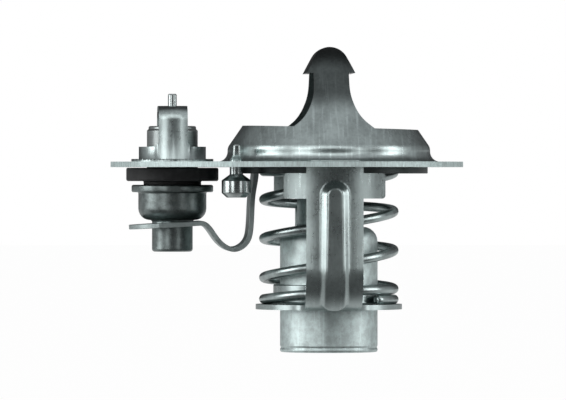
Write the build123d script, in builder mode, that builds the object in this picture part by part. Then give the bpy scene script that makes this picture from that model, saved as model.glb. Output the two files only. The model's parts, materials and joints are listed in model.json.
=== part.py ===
from build123d import *
import os
from math import asin, atan2, cos, exp, hypot, log, pi, radians, sin, tan

# Engine coolant valve with a wax element, and a small pilot valve beside it.
# Millimetres. The origin is the flange's centre on its underside, +Z points up to the
# bridge and +X to the main valve's axis.

# Layout
main_x = 6.2  # axis of the main valve
pilot_x = -16.9  # axis of the pilot valve
vent_x = -7.9
vent_y = -10.8

# Flange, dome and bridge: one pressing
flange_r = 26.0
sheet = 0.8
dome_r = 14.95
dome_root = 1.5  # hollow radius where the dome leaves the flange
dome_knee = 1.5
cone_angle = 55.5
rim_inset = 2.0  # of the trimmed rim inside the dome's wall
rim_z = 5.8
rim_tilt = 1.4  # the trimmed rim is a little higher on the pilot's side
bridge_top = 17.7
bridge_t = 0.85
bell_rise = 0.3  # of the bell's own top above the hood's ridge
hood_base = 13.8
hood_half = 3.55
hood_round = 2.6
hood_length = 16.0  # longer than the bridge, which trims it
leg_top_half = 2.56
leg_waist_half = 2.9
leg_waist_z = 9.9
leg_flare_half = 4.2
leg_flare_z = 7.3
leg_foot_half = 6.3
leg_foot_z = 5.5

# Lower frame: one pressing
frame_t = 0.75
frame_leg_gap = 2.25  # from the dome's wall to the outer face of the legs
frame_leg_half = 4.15
frame_bend_z = -14.6
plate_z = -20.2  # the face that the spring stands on
plate_r = 10.8
plate_web = 2.5
ear_half = 7.4
ear_top = -0.9
ear_bottom = -4.6
ear_corner = 0.5
tab_half = 3.2
tab_head = 0.22
tab_head_spread = 0.3
slot_gap = 0.06
rib_half = 2.05
rib_height = 0.8
rib_top = -2.1
rib_sweep = 52.0  # how far the rib follows the bend, in degrees
collar_t = 0.9
collar_top = -17.3

# Main coil spring
coil_outer_r = 10.3
wire_d = 1.4
coil_pitch = 5.75
coil_start = 0.833  # in turns, where the open coils leave the bottom turn
coil_lean = 0.58  # the open coils stand higher on the +X side
coil_first = -0.128  # in turns from +X, where the wire starts
coil_last = 4.78
coil_soft = 0.11
coil_steps = 12  # points in a turn

# Leaf spring: one strip
leaf_t = 0.7
leaf_half = 6.0
leaf_ring_r = 6.4
leaf_hole_gap = 0.15
leaf_ring_inner = 8.7
leaf_ring_outer = 10.45
leaf_ring_z = 0.05
leaf_bend_r = 1.25
leaf_arm_x = -4.75

# Main valve
valve_t = 0.8
skirt_inset = 0.35  # of the skirt inside the dome's wall
skirt_z = -0.95
valve_corner = 1.7
seal_width = 1.3  # of the part that lies on the disc
seal_lip_inset = 0.75  # of the lip inside the skirt
clip_r = 6.4
clip_t = 0.7

# Main wax element
element_r = 7.2
element_wall = 0.8
element_bottom = -27.26
element_shoulder = -8.8
shoulder_round = 2.2
neck_r = 4.65
neck_top = 2.6
bottom_round = 0.6
lip_t = 0.56
lip_reach = 1.6
crimp_z = -26.6
crimp_depth = 0.12
piston_r = 2.0
running = 0.05  # radial clearance of a sliding fit
boot_gap = 0.1
boot_t = 0.9
boot_bottom = -21.9
piston_bottom = -20.6
piston_top = 16.7
piston_nose_r = 0.8
piston_nose = 2.2
bush_flange = 1.0
washer_t = 0.55
boot_flange = 0.75
wiper_t = 0.6
fit = 0.05  # gap between pieces that are put together by hand
cap_t = 0.8

# Pilot valve
strap_half = 2.125
strap_top = 9.0
strap_bend = 2.15
collar_r = 4.95
bracket_collar_z = 3.0
bracket_disc_r = 6.05
bracket_disc_t = 0.4
pilot_pin_r = 0.65
pilot_pin_top = 10.8
pilot_pin_bottom = -1.3
pilot_guide_r = 3.75
pilot_guide_top = 6.05
pilot_rim_r = 6.02
pilot_rim_top = -2.6
pilot_rim_bottom = -3.7
pilot_rim_wall = 0.28
pilot_cup_r = 5.02
pilot_cup_bottom = -7.8
pilot_cup_round = 1.7
pilot_cup_wall = 0.6
stem_r = 3.0
stem_bottom = -12.46
pilot_disc_r = 6.8
pilot_disc_top = -0.1
pilot_disc_bottom = -2.07
pilot_hub_r = 4.25
plug_r = 1.55
plug_length = 1.6

# Vent pin
vent_shaft_r = 0.97
vent_hole_r = 1.15
vent_head_r = 2.15
vent_neck_z = -1.08
vent_cone_z = -1.95
vent_head_z = -3.8
vent_tip_z = -4.47
vent_tip_r = 1.4
spade_x = 1.2
spade_y = 2.7
spade_top = 3.23

os.makedirs("parts", exist_ok=True)

rim_r = dome_r - rim_inset
skirt_r = dome_r - skirt_inset
frame_leg_r = dome_r + frame_leg_gap

main_axis = Axis((main_x, 0, 0), (0, 0, 1))
main_section = Plane(origin=(main_x, 0, 0), x_dir=(1, 0, 0), z_dir=(0, -1, 0))
pilot_axis = Axis((pilot_x, 0, 0), (0, 0, 1))
pilot_section = Plane(origin=(pilot_x, 0, 0), x_dir=(1, 0, 0), z_dir=(0, -1, 0))
vent_axis = Axis((vent_x, vent_y, 0), (0, 0, 1))
vent_section = Plane(origin=(vent_x, vent_y, 0), x_dir=(1, 0, 0), z_dir=(0, -1, 0))


def main_plan(height):
    return Plane(origin=(main_x, 0, height))


def pilot_plan(height):
    return Plane(origin=(pilot_x, 0, height))


# The bell: the dome's cone carried on upwards and rounded over at the top.
# Its line is where sin(angle) * r + cos(angle) * z is constant.
cone = radians(cone_angle)
bell_line = sin(cone) * rim_r + cos(cone) * rim_z
bell_top = bridge_top + bell_rise
bell_centre = (bell_top - bell_line) / (1 - cos(cone))
bell_r = bell_top - bell_centre


def bell_radius(height, depth=0.0):
    return (bell_line - depth - cos(cone) * height) / sin(cone)


def bell(depth):
    """The solid under the bell's surface, moved in by a depth."""
    low = leg_foot_z - 1.5
    arc_r = bell_r - depth
    with BuildPart() as made:
        with BuildSketch(main_section):
            with BuildLine():
                side = Line(
                    (bell_radius(low, depth), low),
                    (arc_r * sin(cone), bell_centre + arc_r * cos(cone)),
                )
                over = RadiusArc(side @ 1, (0, bell_centre + arc_r), -arc_r)
                down = Line(over @ 1, (0, low))
                Line(down @ 1, side @ 0)
            make_face()
        revolve(axis=main_axis)
    return made.part


bell_outer = bell(0.0)
bell_inner = bell(bridge_t)

# The two legs of the bridge, cut from the bell by their front outline
with BuildPart() as bridge_legs:
    with BuildSketch(main_section):
        with BuildLine():
            right = Spline(
                (leg_foot_half, leg_foot_z),
                (leg_flare_half, leg_flare_z),
                (leg_waist_half, leg_waist_z),
                (leg_top_half, hood_base),
                tangents=[(-1, 0.75), (0, 1)],
            )
            mirror(right, about=Plane.YZ)
            Line((-leg_top_half, hood_base), (-leg_top_half, hood_base + bridge_t))
            Line((-leg_top_half, hood_base + bridge_t), (leg_top_half, hood_base + bridge_t))
            Line((leg_top_half, hood_base + bridge_t), (leg_top_half, hood_base))
            Line((-leg_foot_half, leg_foot_z), (leg_foot_half, leg_foot_z))
        make_face()
    extrude(amount=flange_r, both=True)
    add(bell_outer, mode=Mode.INTERSECT)
    add(bell_inner, mode=Mode.SUBTRACT)

# The hood's front outline is a peak rounded over, with straight sides that flare out to
# its open edges. The sides touch the round top.
hood_drop = bridge_top - hood_round - hood_base
hood_slope = atan2(hood_drop, hood_half) + asin(hood_round / hypot(hood_drop, hood_half))


def hood_prism(base, depth):
    """The hood's front outline, moved in by a depth and drawn along the bridge."""
    peak = hood_base + hood_half * tan(hood_slope) - depth / cos(hood_slope)
    half = (peak - base) / tan(hood_slope)
    with BuildPart() as made:
        with BuildSketch(main_section):
            with BuildLine():
                arch = FilletPolyline(
                    (-half, base), (0, peak), (half, base), radius=hood_round - depth
                )
                Line(arch @ 1, arch @ 0)
            make_face()
        extrude(amount=hood_length / 2, both=True)
    return made.part


with BuildPart() as hood_space:
    add(hood_prism(hood_base - bridge_t, bridge_t))
    add(bell_inner, mode=Mode.INTERSECT)

with BuildPart() as hood:
    add(hood_prism(hood_base, 0))
    add(bell_outer, mode=Mode.INTERSECT)
    add(hood_space.part, mode=Mode.SUBTRACT)

# Flange, dome, bridge legs and hood, with the holes for the pilot valve, the vent pin
# and the frame's tabs
dome_flat = dome_r + dome_root
knee_z = rim_z - (dome_r - rim_r) * tan(cone)
knee_inner_z = knee_z - sheet * tan(radians(90 - cone_angle) / 2)
dome_top = rim_z + 1.0
frame_inner_r = frame_leg_r - frame_t
with BuildPart() as flange_bridge:
    with BuildSketch():
        Circle(flange_r)
        with Locations((main_x, 0)):
            Circle(dome_flat, mode=Mode.SUBTRACT)
    extrude(amount=sheet)
    with BuildSketch(main_section):
        with BuildLine():
            outer = FilletPolyline(
                (dome_flat + sheet, sheet),
                (dome_r, sheet),
                (dome_r, knee_z),
                (bell_radius(dome_top), dome_top),
                radius=[dome_root, dome_knee],
            )
            inner = FilletPolyline(
                (dome_flat + sheet, 0),
                (dome_r - sheet, 0),
                (dome_r - sheet, knee_inner_z),
                (bell_radius(dome_top, sheet), dome_top),
                radius=[dome_root + sheet, dome_knee - sheet],
            )
            Line(outer @ 0, inner @ 0)
            Line(outer @ 1, inner @ 1)
        make_face()
    revolve(axis=main_axis)
    tilt = radians(rim_tilt)
    rim_plane = Plane(
        origin=(main_x, 0, rim_z), x_dir=(cos(tilt), 0, -sin(tilt)), z_dir=(sin(tilt), 0, cos(tilt))
    )
    split(bisect_by=rim_plane, keep=Keep.BOTTOM)
    add(bridge_legs.part)
    add(hood.part)
    with BuildSketch():
        with Locations((pilot_x, 0)):
            Circle(collar_r - sheet)
        with Locations((vent_x, vent_y)):
            Circle(vent_hole_r)
    extrude(amount=sheet, mode=Mode.SUBTRACT)
    with BuildSketch(main_plan(0)):
        Circle(frame_leg_r + slot_gap)
        Circle(frame_inner_r - slot_gap, mode=Mode.SUBTRACT)
        Rectangle(2 * (tab_half + slot_gap), 3 * frame_leg_r, mode=Mode.INTERSECT)
    extrude(amount=2 * sheet, mode=Mode.SUBTRACT)
flange_bridge.part.label = "flange_bridge"
export_step(flange_bridge.part, "parts/flange_bridge.step")


# Lower frame: a drawn cup cut to two legs and a ring plate
frame_bend_r = frame_bend_z - plate_z


def frame_cup(depth):
    """The solid inside the frame's outer face, moved in by a depth."""
    wall = frame_leg_r - depth
    floor = plate_z - frame_t + depth
    round_r = frame_bend_r + frame_t - depth
    with BuildPart() as made:
        with BuildSketch(main_section):
            with BuildLine():
                side = Line((wall, 2 * sheet), (wall, frame_bend_z))
                bend = RadiusArc(side @ 1, (wall - round_r, floor), round_r)
                Polyline(bend @ 1, (0, floor), (0, 2 * sheet), side @ 0)
            make_face()
        revolve(axis=main_axis)
    return made.part


rib_r = (rib_half**2 + rib_height**2) / (2 * rib_height)
rib_y = frame_leg_r + rib_height - rib_r
rib_centre_r = frame_leg_r - frame_t - frame_bend_r


def rib_core(depth):
    """The round core of one pressed rib, on the +Y leg."""
    r = rib_r - depth
    low = rib_top - rib_half
    bend_axis = Axis((main_x, rib_centre_r, frame_bend_z), (1, 0, 0))
    end = radians(rib_sweep)
    reach = rib_y - rib_centre_r
    with BuildPart() as made:
        with BuildSketch(main_plan(frame_bend_z)):
            with Locations((0, rib_y)):
                Circle(r)
        extrude(amount=low - frame_bend_z)
        with BuildSketch(main_plan(frame_bend_z)):
            with Locations((0, rib_y)):
                Circle(r)
        revolve(axis=bend_axis, revolution_arc=-rib_sweep)
        with Locations(
            (main_x, rib_y, low),
            (main_x, rib_centre_r + reach * cos(end), frame_bend_z - reach * sin(end)),
        ):
            Sphere(r)
    return made.part


with BuildPart() as frame_space:
    add(frame_cup(frame_t))
    add(rib_core(frame_t))
    mirror(rib_core(frame_t), about=Plane.XZ)

# Seen from above, the legs' feet run into the round plate with hollow corners
leg_open_z = plate_z + 2 * frame_t
frame_low = plate_z - 2 * rib_height
with BuildPart() as frame_plan:
    with BuildSketch(main_plan(frame_low)) as plan_outline:
        Circle(plate_r)
        Rectangle(2 * frame_leg_half, 3 * frame_leg_r)
        inside = plan_outline.vertices().filter_by_position(Axis.Y, -plate_r, plate_r)
        fillet(inside, plate_web)
    extrude(amount=leg_open_z - frame_low)
    with BuildSketch(main_plan(leg_open_z)):
        Rectangle(3 * frame_leg_r, 3 * frame_leg_r)
    extrude(amount=2 * sheet - leg_open_z)

with BuildPart() as lower_frame:
    add(frame_cup(0.0))
    add(rib_core(0.0))
    mirror(rib_core(0.0), about=Plane.XZ)
    add(frame_space.part, mode=Mode.SUBTRACT)
    with BuildSketch(main_section) as front_outline:
        with BuildLine():
            half = Polyline(
                (0, sheet),
                (tab_half, sheet),
                (tab_half, 0),
                (frame_leg_half, 0),
                (frame_leg_half, ear_top),
                (ear_half, ear_top),
                (ear_half, ear_bottom),
                (frame_leg_half, ear_bottom),
                (frame_leg_half, leg_open_z),
                (frame_leg_r, leg_open_z),
                (frame_leg_r, frame_low),
                (0, frame_low),
            )
            mirror(half, about=Plane.YZ)
        make_face()
        ears = front_outline.vertices().filter_by_position(Axis.Z, ear_bottom - 0.1, ear_top + 0.1)
        fillet(ears, ear_corner)
    extrude(amount=frame_leg_r + 2 * rib_height, both=True, mode=Mode.INTERSECT)
    add(frame_plan.part, mode=Mode.INTERSECT)
    with BuildSketch(main_plan(plate_z - frame_t)):
        Circle(element_r + 2 * fit + collar_t)
    extrude(amount=collar_top - plate_z + frame_t)
    with BuildSketch(main_plan(plate_z - frame_t)):
        Circle(element_r + 2 * fit)
    extrude(amount=collar_top - plate_z + frame_t, mode=Mode.SUBTRACT)
    with BuildSketch(main_plan(sheet)):
        Circle(frame_leg_r + tab_head_spread)
        Circle(frame_inner_r + fit, mode=Mode.SUBTRACT)
        Rectangle(2 * (tab_half + tab_head_spread), 3 * frame_leg_r, mode=Mode.INTERSECT)
    extrude(amount=tab_head)
lower_frame.part.label = "lower_frame"
export_step(lower_frame.part, "parts/lower_frame.step")


# Main coil spring: closed at both ends, and the open coils lean
wire_r = wire_d / 2
coil_r = coil_outer_r - wire_r
coil_low = plate_z + wire_r
coil_high = leaf_ring_z - wire_r - 0.01
bed_begin = 0.45
bed_end = 1 + coil_first


def larger(a, b):
    return a + coil_soft * log(1 + exp((b - a) / coil_soft))


def coil_height(turn):
    """Height of the wire's centre, in turns from +X."""
    lean = coil_lean * cos(2 * pi * turn)
    open_coil = coil_low + coil_pitch * (turn - coil_start) + lean
    share = min(1.0, max(0.0, (turn - bed_begin) / (bed_end - bed_begin)))
    bed = coil_low + (wire_d + 2 * fit) * share * share * (3 - 2 * share)
    height = larger(bed, open_coil)
    return coil_high - larger(0.0, coil_high - height) if turn > 2 else height


def coil_point(turn):
    angle = 2 * pi * turn
    return (main_x + coil_r * cos(angle), coil_r * sin(angle), coil_height(turn))


coil_count = round((coil_last - coil_first) * coil_steps)
coil_span = coil_last - coil_first
coil_turns = [coil_first + coil_span * i / coil_count for i in range(coil_count + 1)]
with BuildPart() as main_spring:
    with BuildLine() as coil_path:
        Spline([coil_point(turn) for turn in coil_turns])
    with BuildSketch(Plane(origin=coil_path.line @ 0, z_dir=coil_path.line % 0)):
        Circle(wire_r)
    sweep(path=coil_path.line)
main_spring.part.label = "main_spring"
export_step(main_spring.part, "parts/main_spring.step")


# Leaf spring: a ring between the coil spring and the valve disc, an arm down and round,
# and a ring under the pilot cup
leaf_mid_z = leaf_ring_z + leaf_t / 2
leaf_bend_x = leaf_arm_x + leaf_bend_r
leaf_bend_z = leaf_mid_z - leaf_bend_r
leaf_end = (pilot_x - leaf_ring_r, -8.85)
leaf_corner = (-12.8, -8.25)
with BuildPart() as leaf_spring:
    with BuildSketch(Plane.XZ):
        with BuildLine() as leaf_line:
            under_cup = Line(leaf_end, leaf_corner)
            loop = Spline(
                leaf_corner,
                (-11.1, -9.7),
                (-9.8, -11.3),
                (-8.0, -12.1),
                (-6.05, -10.9),
                (-5.55, -9.1),
                (-5.4, -6.8),
                (-5.2, -3.9),
                (leaf_arm_x, leaf_bend_z),
                tangents=[(1, 0), (0.05, 1)],
            )
            RadiusArc(loop @ 1, (leaf_bend_x, leaf_mid_z), leaf_bend_r)
            Line((leaf_bend_x, leaf_mid_z), (leaf_bend_x + leaf_ring_outer / 4, leaf_mid_z))
        trace(line_width=leaf_t)
    extrude(amount=leaf_half, both=True)
    with BuildSketch(Plane.XY.offset(element_bottom)):
        with Locations((pilot_x, 0)):
            Circle(leaf_ring_r)
        with Locations(((pilot_x + main_x) / 2, 0)):
            Rectangle(main_x - pilot_x, 2 * leaf_half)
    extrude(amount=2 * neck_top - element_bottom, mode=Mode.INTERSECT)
    with BuildSketch(main_plan(leaf_ring_z)):
        Circle(leaf_ring_outer)
    extrude(amount=leaf_t)
    with BuildSketch(main_plan(leaf_ring_z)):
        Circle(leaf_ring_inner)
    extrude(amount=leaf_t, mode=Mode.SUBTRACT)
    with BuildSketch(pilot_plan(stem_bottom)):
        Circle(stem_r + leaf_hole_gap)
    extrude(amount=-stem_bottom, mode=Mode.SUBTRACT)
leaf_spring.part.label = "leaf_spring"
export_step(leaf_spring.part, "parts/leaf_spring.step")


# Main valve disc: a cap with a skirt down to the flange's underside
valve_z = leaf_ring_z + leaf_t
valve_top = valve_z + valve_t
with BuildPart() as valve_disc:
    with BuildSketch(main_section):
        with BuildLine():
            top = FilletPolyline(
                (neck_r + fit, valve_top), (skirt_r, valve_top), (skirt_r, skirt_z), radius=valve_corner
            )
            under = FilletPolyline(
                (neck_r + fit, valve_z),
                (skirt_r - valve_t, valve_z),
                (skirt_r - valve_t, skirt_z),
                radius=valve_corner - valve_t,
            )
            Line(top @ 0, under @ 0)
            Line(top @ 1, under @ 1)
        make_face()
    revolve(axis=main_axis)
valve_disc.part.label = "valve_disc"
export_step(valve_disc.part, "parts/valve_disc.step")

# Rubber ring on the valve disc, with a lip towards the dome
seal_foot = skirt_r - valve_corner
seal_inner = seal_foot - seal_width
seal_lip = skirt_r - seal_lip_inset
with BuildPart() as valve_seal:
    with BuildSketch(main_section):
        with BuildLine():
            Polyline(
                (seal_inner, valve_top),
                (seal_foot, valve_top),
                (seal_lip, valve_top + 0.5),
                (seal_lip, valve_top + 0.9),
                (seal_foot + 0.3, valve_top + 1.05),
                (seal_inner, valve_top + 0.7),
                close=True,
            )
        make_face()
    revolve(axis=main_axis)
valve_seal.part.label = "valve_seal"
export_step(valve_seal.part, "parts/valve_seal.step")

# Ring that holds the disc down on the element's neck
with BuildPart() as valve_clip:
    with BuildSketch(main_plan(valve_top)):
        Circle(clip_r)
        Circle(neck_r + fit, mode=Mode.SUBTRACT)
    extrude(amount=clip_t)
    chamfer(valve_clip.edges().filter_by(GeomType.CIRCLE).sort_by(Axis.Z)[-1], clip_t / 4)
valve_clip.part.label = "valve_clip"
export_step(valve_clip.part, "parts/valve_clip.step")


# Main wax element: a drawn shell with a neck, its bottom lip rolled in over an end cap
shell_in = element_r - element_wall
neck_in = neck_r - element_wall
shoulder_in = element_shoulder - element_wall
lip_z = element_bottom + lip_t
with BuildPart() as element_body:
    with BuildSketch(main_section):
        with BuildLine():
            outside = FilletPolyline(
                (neck_r, neck_top),
                (neck_r, element_shoulder),
                (element_r, element_shoulder),
                (element_r, element_bottom),
                (element_r - lip_reach, element_bottom),
                radius=[0.5, shoulder_round, bottom_round],
            )
            inside_wall = FilletPolyline(
                (neck_in, neck_top),
                (neck_in, shoulder_in),
                (shell_in, shoulder_in),
                (shell_in, lip_z),
                (element_r - lip_reach, lip_z),
                radius=[0.3, shoulder_round - element_wall, 0.1],
            )
            Line(outside @ 0, inside_wall @ 0)
            Line(outside @ 1, inside_wall @ 1)
        make_face()
        with BuildLine():
            Polyline(
                (element_r + crimp_depth, crimp_z + 2 * crimp_depth),
                (element_r - crimp_depth, crimp_z),
                (element_r + crimp_depth, crimp_z - 2 * crimp_depth),
                close=True,
            )
        make_face(mode=Mode.SUBTRACT)
    revolve(axis=main_axis)
element_body.part.label = "element_body"
export_step(element_body.part, "parts/element_body.step")

# Disc that closes the shell, under its rolled lip
cap_top = lip_z + fit + cap_t
with BuildPart() as element_end_cap:
    with BuildSketch(main_section):
        with BuildLine():
            Polyline(
                (0, lip_z + fit),
                (shell_in - fit, lip_z + fit),
                (shell_in - fit, cap_top),
                (0, cap_top),
                close=True,
            )
        make_face()
    revolve(axis=main_axis)
element_end_cap.part.label = "element_end_cap"
export_step(element_end_cap.part, "parts/element_end_cap.step")


# Guide bush in the neck, with its flange under the shell's shoulder
bush_top = neck_top - wiper_t
bush_flange_r = element_r - shoulder_round
bush_low = shoulder_in - fit - bush_flange
with BuildPart() as guide_bush:
    with BuildSketch(main_section):
        with BuildLine():
            Polyline(
                (piston_r + running, bush_top),
                (neck_in - 2 * fit, bush_top),
                (neck_in - 2 * fit, shoulder_in - 4 * fit),
                (neck_in + 0.3, shoulder_in - fit),
                (bush_flange_r, shoulder_in - fit),
                (bush_flange_r, bush_low),
                (piston_r + running, bush_low),
                close=True,
            )
        make_face()
    revolve(axis=main_axis)
guide_bush.part.label = "guide_bush"
export_step(guide_bush.part, "parts/guide_bush.step")

with BuildPart() as guide_wiper:
    with BuildSketch(main_section):
        with BuildLine():
            Polyline(
                (piston_r + running, bush_top + fit),
                (neck_in - 2 * fit, bush_top + fit),
                (neck_in - 2 * fit, neck_top),
                (piston_r + 4 * running, neck_top),
                close=True,
            )
        make_face()
    revolve(axis=main_axis)
guide_wiper.part.label = "guide_wiper"
export_step(guide_wiper.part, "parts/guide_wiper.step")

washer_top = bush_low - fit
washer_low = washer_top - washer_t
with BuildPart() as boot_washer:
    with BuildSketch(main_section):
        with BuildLine():
            Polyline(
                (piston_r + boot_gap, washer_top),
                (bush_flange_r, washer_top),
                (bush_flange_r, washer_low),
                (piston_r + boot_gap, washer_low),
                close=True,
            )
        make_face()
    revolve(axis=main_axis)
boot_washer.part.label = "boot_washer"
export_step(boot_washer.part, "parts/boot_washer.step")


# Rubber boot: a closed sleeve round the piston, hung from its flange
boot_in = piston_r + boot_gap
boot_out = boot_in + boot_t
boot_top = washer_low - fit
with BuildPart() as element_boot:
    with BuildSketch(main_section):
        with BuildLine():
            Polyline(
                (boot_in, boot_top),
                (bush_flange_r, boot_top),
                (bush_flange_r, boot_top - boot_flange),
                (boot_out, boot_top - boot_flange),
                (boot_out, boot_bottom),
                (0, boot_bottom),
                (0, boot_bottom + boot_t),
                (boot_in, boot_bottom + boot_t),
                close=True,
            )
        make_face()
    revolve(axis=main_axis)
element_boot.part.label = "element_boot"
export_step(element_boot.part, "parts/element_boot.step")

wax_top = boot_top - boot_flange - fit
with BuildPart() as element_wax:
    with BuildSketch(main_section):
        with BuildLine():
            Polyline(
                (boot_out + fit, wax_top),
                (shell_in - fit, wax_top),
                (shell_in - fit, cap_top + fit),
                (0, cap_top + fit),
                (0, boot_bottom - fit),
                (boot_out + fit, boot_bottom - fit),
                close=True,
            )
        make_face()
    revolve(axis=main_axis)
element_wax.part.label = "element_wax"
export_step(element_wax.part, "parts/element_wax.step")

with BuildPart() as main_piston:
    with BuildSketch(main_section):
        with BuildLine():
            Polyline(
                (0, piston_bottom),
                (piston_r - 0.5, piston_bottom),
                (piston_r, piston_bottom + 0.5),
                (piston_r, piston_top - piston_nose),
                (piston_nose_r, piston_top),
                (0, piston_top),
                close=True,
            )
        make_face()
    revolve(axis=main_axis)
main_piston.part.label = "main_piston"
export_step(main_piston.part, "parts/main_piston.step")


# Pilot bracket: a disc and collar on the flange, with a strap over the guide. The strap
# is the collar's own wall carried up, closed over and cut to a strip.
def bracket_shell(depth):
    """The solid inside the bracket's outer face, moved in by a depth."""
    wall = collar_r - depth
    top = strap_top - depth
    with BuildPart() as made:
        with BuildSketch(pilot_section):
            with BuildLine():
                rise = FilletPolyline((wall, 0), (wall, top), (0, top), radius=strap_bend - depth)
                Polyline(rise @ 1, (0, 0), rise @ 0)
            make_face()
        revolve(axis=pilot_axis)
    return made.part


with BuildPart() as pilot_bridge:
    add(bracket_shell(0.0))
    add(bracket_shell(sheet), mode=Mode.SUBTRACT)
    with BuildSketch(pilot_section):
        with BuildLine():
            strap_right = Polyline(
                (0, sheet),
                (collar_r, sheet),
                (collar_r, bracket_collar_z),
                (strap_half + 0.5, bracket_collar_z),
                (strap_half, bracket_collar_z + 0.6),
                (strap_half, strap_top),
                (0, strap_top),
            )
            mirror(strap_right, about=Plane.YZ)
        make_face()
    extrude(amount=collar_r, both=True, mode=Mode.INTERSECT)
    with BuildSketch(pilot_plan(sheet)):
        Circle(bracket_disc_r)
        Circle(collar_r - sheet / 2, mode=Mode.SUBTRACT)
    extrude(amount=bracket_disc_t)
    with BuildSketch(pilot_plan(strap_top - sheet)):
        Circle(pilot_pin_r + 0.01)
    extrude(amount=sheet, mode=Mode.SUBTRACT)
pilot_bridge.part.label = "pilot_bridge"
export_step(pilot_bridge.part, "parts/pilot_bridge.step")

with BuildPart() as pilot_piston:
    with BuildSketch(pilot_section):
        with BuildLine():
            Polyline(
                (0, pilot_pin_bottom),
                (pilot_pin_r, pilot_pin_bottom),
                (pilot_pin_r, pilot_pin_top - 0.15),
                (pilot_pin_r - 0.15, pilot_pin_top),
                (0, pilot_pin_top),
                close=True,
            )
        make_face()
    revolve(axis=pilot_axis)
pilot_piston.part.label = "pilot_piston"
export_step(pilot_piston.part, "parts/pilot_piston.step")

# Pilot element: a guide whose flange is crimped into the cup's rim over a diaphragm
rim_seat = pilot_rim_bottom + pilot_rim_wall
rim_lid = pilot_rim_top - pilot_rim_wall
rim_in = pilot_rim_r - 2 * pilot_rim_wall
diaphragm_t = 0.22
flange_low = rim_seat + diaphragm_t + 0.02
plug_bore_top = pilot_pin_bottom - 0.1
with BuildPart() as pilot_guide:
    with BuildSketch(pilot_section):
        with BuildLine():
            body = FilletPolyline(
                (rim_in - fit, rim_lid - 0.02),
                (pilot_guide_r, rim_lid - 0.02),
                (pilot_guide_r, pilot_guide_top),
                (pilot_pin_r + running, pilot_guide_top),
                radius=[0.1, 0.4],
            )
            Polyline(
                body @ 1,
                (pilot_pin_r + running, plug_bore_top),
                (plug_r + fit, plug_bore_top),
                (plug_r + fit, flange_low),
                (rim_in - fit, flange_low),
                body @ 0,
            )
        make_face()
    revolve(axis=pilot_axis)
pilot_guide.part.label = "pilot_guide"
export_step(pilot_guide.part, "parts/pilot_guide.step")

cup_in = pilot_cup_r - pilot_cup_wall
stem_in = stem_r - pilot_cup_wall
with BuildPart() as pilot_cup:
    with BuildSketch(pilot_section):
        with BuildLine():
            skin = FilletPolyline(
                (pilot_guide_r + fit, pilot_rim_top),
                (pilot_rim_r, pilot_rim_top),
                (pilot_rim_r, pilot_rim_bottom),
                (pilot_cup_r, pilot_rim_bottom),
                (pilot_cup_r, pilot_cup_bottom),
                (stem_r, pilot_cup_bottom),
                (stem_r, stem_bottom),
                (0, stem_bottom),
                radius=[0.12, 0.12, 0.1, pilot_cup_round, 0.2, 0.25],
            )
            hollow = FilletPolyline(
                (pilot_guide_r + fit, rim_lid),
                (rim_in, rim_lid),
                (rim_in, rim_seat),
                (cup_in, rim_seat),
                (cup_in, pilot_cup_bottom + pilot_cup_wall),
                (stem_in, pilot_cup_bottom + pilot_cup_wall),
                (stem_in, stem_bottom + pilot_cup_wall),
                (0, stem_bottom + pilot_cup_wall),
                radius=[0.05, 0.05, 0.1, pilot_cup_round - pilot_cup_wall, 0.3, 0.25],
            )
            Line(skin @ 0, hollow @ 0)
            Line(skin @ 1, hollow @ 1)
        make_face()
    revolve(axis=pilot_axis)
pilot_cup.part.label = "pilot_cup"
export_step(pilot_cup.part, "parts/pilot_cup.step")

# Rubber disc that shuts the pilot hole from below, with a hub on the cup's rim
with BuildPart() as pilot_valve:
    with BuildSketch(pilot_section):
        with BuildLine():
            rubber = FilletPolyline(
                (pilot_guide_r + fit, pilot_disc_top),
                (pilot_disc_r, pilot_disc_top),
                (pilot_disc_r, pilot_disc_bottom),
                (pilot_hub_r, pilot_disc_bottom),
                (pilot_hub_r, pilot_rim_top),
                (pilot_guide_r + fit, pilot_rim_top),
                radius=[0.12, 0.12, 0.15, 0.05],
            )
            Line(rubber @ 1, rubber @ 0)
        make_face()
    revolve(axis=pilot_axis)
pilot_valve.part.label = "pilot_valve"
export_step(pilot_valve.part, "parts/pilot_valve.step")

with BuildPart() as pilot_diaphragm:
    with BuildSketch(pilot_section):
        with BuildLine():
            Polyline(
                (0, rim_seat),
                (rim_in - fit, rim_seat),
                (rim_in - fit, rim_seat + diaphragm_t),
                (0, rim_seat + diaphragm_t),
                close=True,
            )
        make_face()
    revolve(axis=pilot_axis)
pilot_diaphragm.part.label = "pilot_diaphragm"
export_step(pilot_diaphragm.part, "parts/pilot_diaphragm.step")

with BuildPart() as pilot_plug:
    with BuildSketch(pilot_section):
        with BuildLine():
            Polyline(
                (0, flange_low),
                (plug_r, flange_low),
                (plug_r, flange_low + plug_length),
                (0, flange_low + plug_length),
                close=True,
            )
        make_face()
    revolve(axis=pilot_axis)
pilot_plug.part.label = "pilot_plug"
export_step(pilot_plug.part, "parts/pilot_plug.step")

pilot_wax_top = rim_seat - 0.02
with BuildPart() as pilot_wax:
    with BuildSketch(pilot_section):
        with BuildLine():
            Polyline(
                (0, pilot_wax_top),
                (cup_in - 0.15, pilot_wax_top),
                (cup_in - 0.15, pilot_cup_bottom + pilot_cup_round),
                (stem_in, pilot_cup_bottom + pilot_cup_wall + 0.1),
                (stem_in - 0.4, pilot_cup_bottom + pilot_cup_wall - 0.5),
                (stem_in - 0.4, stem_bottom + pilot_cup_wall + 0.3),
                (0, stem_bottom + pilot_cup_wall + 0.3),
                close=True,
            )
        make_face()
    revolve(axis=pilot_axis)
pilot_wax.part.label = "pilot_wax"
export_step(pilot_wax.part, "parts/pilot_wax.step")


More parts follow.
